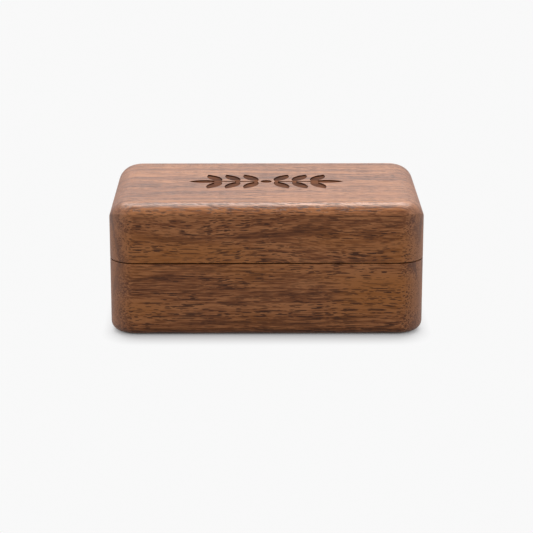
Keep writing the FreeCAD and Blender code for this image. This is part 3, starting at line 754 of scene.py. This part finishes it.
class CUFFLINKBOX_OT_set_stage(Operator):
    """Set the floor, the lamps and the camera"""
    bl_idname = "cufflink_box.set_stage"
    bl_label = "Set Stage"

    def execute(self, context):
        settings = context.scene.stage
        make_floor(settings)
        make_world(settings)
        make_lamp("key_lamp", settings.key, KEY_LAMP_PLACE, KEY_LAMP_SIZE)
        aside, ahead, above = SIDE_LAMP_PLACE
        make_lamp("left_lamp", settings.side, (-aside, ahead, above), SIDE_LAMP_SIZE)
        make_lamp("right_lamp", settings.side, SIDE_LAMP_PLACE, SIDE_LAMP_SIZE)
        make_camera(settings)
        context.scene.view_settings.view_transform = "Standard"
        return {"FINISHED"}


def seen_rays(tree):
    """1 on the rays that show the stage itself: straight from the camera, or by gloss or glass."""
    rays = add_node(tree, "ShaderNodeLightPath").outputs
    shown = calculate(tree, "MAXIMUM", rays["Is Camera Ray"], rays["Is Glossy Ray"])
    return calculate(tree, "MAXIMUM", shown, rays["Is Transmission Ray"])


def clear_of_shadow(tree, place, settings):
    """0 on the floor at the box's foot, rising to 1 where its shadow ends."""
    corner = CAD_BOX[1] - Vector((1, 1, 0)) * (settings.foot_inset + settings.foot_corner)
    past_corner = combine(tree, "SUBTRACT", combine(tree, "ABSOLUTE", place), (corner.x, corner.y, 0))
    outward = combine(tree, "MAXIMUM", past_corner, (0, 0, 0))
    measure = add_node(tree, "ShaderNodeVectorMath", {0: outward}, operation="LENGTH")
    distance = calculate(tree, "SUBTRACT", measure.outputs["Value"], settings.foot_corner)
    direction = add_node(tree, "ShaderNodeSeparateXYZ", {0: combine(tree, "NORMALIZE", outward)}).outputs
    lean = calculate(tree, "MULTIPLY", direction["X"], direction["X"])
    reach = calculate(tree, "MULTIPLY_ADD", lean, settings.shadow_beside - settings.shadow_ahead,
                      settings.shadow_ahead)
    share_inside = calculate(tree, "SUBTRACT", 1.0, calculate(tree, "DIVIDE", distance, reach))
    inside = calculate(tree, "MINIMUM", calculate(tree, "MAXIMUM", share_inside, 0.0), 1.0)
    return calculate(tree, "SUBTRACT", 1.0, calculate(tree, "POWER", inside, 1.35))


def make_floor(settings):
    """A pale floor that keeps the box's shadow and fades into the backdrop away from it."""
    sheet = bmesh.new()
    bmesh.ops.create_circle(sheet, cap_ends=True, segments=96, radius=4.0)
    floor = new_piece("floor", sheet)
    material = bpy.data.materials.new("pale_floor")
    material.use_nodes = True
    tree = material.node_tree
    tree.nodes.clear()
    place = add_node(tree, "ShaderNodeTexCoord").outputs["Object"]
    seen = seen_rays(tree)
    shown = calculate(tree, "MULTIPLY", clear_of_shadow(tree, place, settings), seen)
    shade = mix_colours(tree, seen, rgba(settings.bounce), rgba(settings.floor))
    lit = add_node(tree, "ShaderNodeBsdfDiffuse", {"Color": shade}).outputs[0]
    plain = add_node(tree, "ShaderNodeEmission", {"Color": rgba(settings.backdrop)}).outputs[0]
    surface = add_node(tree, "ShaderNodeMixShader", {0: shown, 1: lit, 2: plain}).outputs[0]
    add_node(tree, "ShaderNodeOutputMaterial", {"Surface": surface})
    floor.data.materials.append(material)


def make_world(settings):
    """Even light from all round, and a pale backdrop."""
    world = bpy.data.worlds.new("studio")
    bpy.context.scene.world = world
    world.use_nodes = True
    tree = world.node_tree
    tree.nodes.clear()
    even = {"Color": rgba((1.0, 1.0, 1.0)), "Strength": settings.ambient}
    light = add_node(tree, "ShaderNodeBackground", even).outputs[0]
    shown = add_node(tree, "ShaderNodeBackground", {"Color": rgba(settings.backdrop)}).outputs[0]
    both = add_node(tree, "ShaderNodeMixShader", {0: seen_rays(tree), 1: light, 2: shown}).outputs[0]
    add_node(tree, "ShaderNodeOutputWorld", {"Surface": both})


def make_lamp(name, power, place, size):
    """A soft rectangular lamp that points at the box."""
    lamp = bpy.data.lights.new(name, "AREA")
    lamp.shape = "RECTANGLE"
    lamp.size, lamp.size_y = size
    lamp.energy = power
    holder = bpy.data.objects.new(name, lamp)
    holder.location = place
    holder.rotation_euler = (-Vector(place)).to_track_quat("-Z", "Y").to_euler()
    holder.visible_camera = False
    bpy.context.scene.collection.objects.link(holder)


def make_camera(settings):
    """The camera, at a distance from its aim."""
    flat = math.cos(settings.elevation)
    aside = math.sin(settings.azimuth) * flat
    ahead = math.cos(settings.azimuth) * flat
    back = Vector((aside, -ahead, math.sin(settings.elevation)))
    lens = bpy.data.cameras.new("camera")
    lens.sensor_width = 36
    lens.lens = settings.lens
    lens.clip_start = 0.01
    camera = bpy.data.objects.new("camera", lens)
    camera.location = Vector(settings.aim) + back * settings.distance
    camera.rotation_euler = (-back).to_track_quat("-Z", "Y").to_euler()
    bpy.context.scene.collection.objects.link(camera)
    bpy.context.scene.camera = camera


class CUFFLINKBOX_PT_panel(Panel):
    """The steps of the box, in the sidebar"""
    bl_idname = "CUFFLINKBOX_PT_panel"
    bl_label = "Cufflink Box"
    bl_space_type = "VIEW_3D"
    bl_region_type = "UI"
    bl_category = "Cufflink Box"

    def draw(self, context):
        for operator in OPERATORS:
            self.layout.operator(operator.bl_idname)


SETTINGS = {
    "walnut": WalnutSettings,
    "metal": MetalSettings,
    "lining": LiningSettings,
    "stage": StageSettings,
}
OPERATORS = (
    CUFFLINKBOX_OT_dress_walnut,
    CUFFLINKBOX_OT_dress_metal,
    CUFFLINKBOX_OT_dress_card,
    CUFFLINKBOX_OT_make_insert_cushion,
    CUFFLINKBOX_OT_make_lid_pad,
    CUFFLINKBOX_OT_set_stage,
)


def register():
    for name, group in SETTINGS.items():
        bpy.utils.register_class(group)
        setattr(bpy.types.Scene, name, PointerProperty(type=group))
    for operator in OPERATORS:
        bpy.utils.register_class(operator)
    bpy.utils.register_class(CUFFLINKBOX_PT_panel)


def unregister():
    bpy.utils.unregister_class(CUFFLINKBOX_PT_panel)
    for operator in reversed(OPERATORS):
        bpy.utils.unregister_class(operator)
    for name, group in reversed(SETTINGS.items()):
        delattr(bpy.types.Scene, name)
        bpy.utils.unregister_class(group)


def main():
    register()
    bpy.ops.cufflink_box.dress_walnut()
    bpy.ops.cufflink_box.dress_metal()
    bpy.ops.cufflink_box.dress_card()
    bpy.ops.cufflink_box.make_insert_cushion()
    bpy.ops.cufflink_box.make_lid_pad()
    bpy.ops.cufflink_box.set_stage()


if __name__ == "__main__":
    main()
